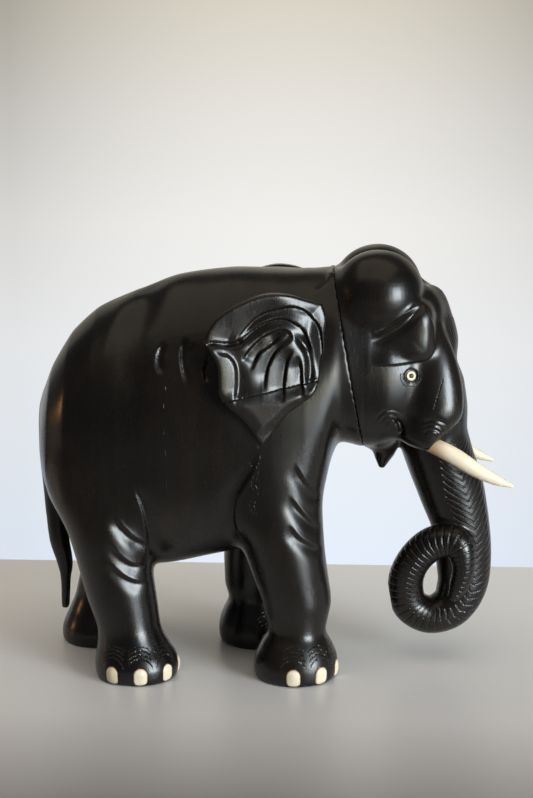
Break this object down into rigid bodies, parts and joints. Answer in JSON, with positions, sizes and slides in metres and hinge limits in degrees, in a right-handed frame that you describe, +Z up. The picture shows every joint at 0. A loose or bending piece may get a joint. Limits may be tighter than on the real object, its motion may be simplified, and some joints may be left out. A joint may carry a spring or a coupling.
{
  "type": "carved elephant figurine",
  "caption": "Carved dark wood elephant walking with a curled trunk, with inlaid bone tusks, toenails and eyes; a free-standing ornament.",
  "frame": {"origin": "middle of the bounding box's underside, on the surface that the feet stand on", "axes": "+X forward, the way the elephant walks; +Y to its left; +Z up"},
  "size_m": [0.3352, 0.1578, 0.299],
  "materials": {
    "ebony": "near-black ebony, hand polished to a satin gloss, warmer brown where light grazes it",
    "bone": "carved bone, cream to pale tan, polished, with fine dark pores",
    "dowel_wood": "plain hardwood dowel, unpolished, hidden"
  },
  "bodies": {
    "root": {"body_block": "ebony", "head_block": "ebony", "right_ear": "ebony", "right_ear_tip": "ebony", "left_ear": "ebony", "neck_dowel_upper": "dowel_wood", "neck_dowel_lower": "dowel_wood", "right_tusk": "bone", "right_eye_ring": "bone", "right_eye_pupil": "ebony", "left_tusk": "bone", "left_eye_ring": "bone", "left_eye_pupil": "ebony", "right_front_toenail_1": "bone", "right_front_toenail_2": "bone", "right_front_toenail_3": "bone", "right_front_toenail_4": "bone", "right_front_toenail_5": "bone", "left_front_toenail_1": "bone", "left_front_toenail_2": "bone", "left_front_toenail_3": "bone", "left_front_toenail_4": "bone", "left_front_toenail_5": "bone", "right_rear_toenail_1": "bone", "right_rear_toenail_2": "bone", "right_rear_toenail_3": "bone", "right_rear_toenail_4": "bone", "left_rear_toenail_1": "bone", "left_rear_toenail_2": "bone", "left_rear_toenail_3": "bone", "left_rear_toenail_4": "bone"}
  },
  "joints": []
}
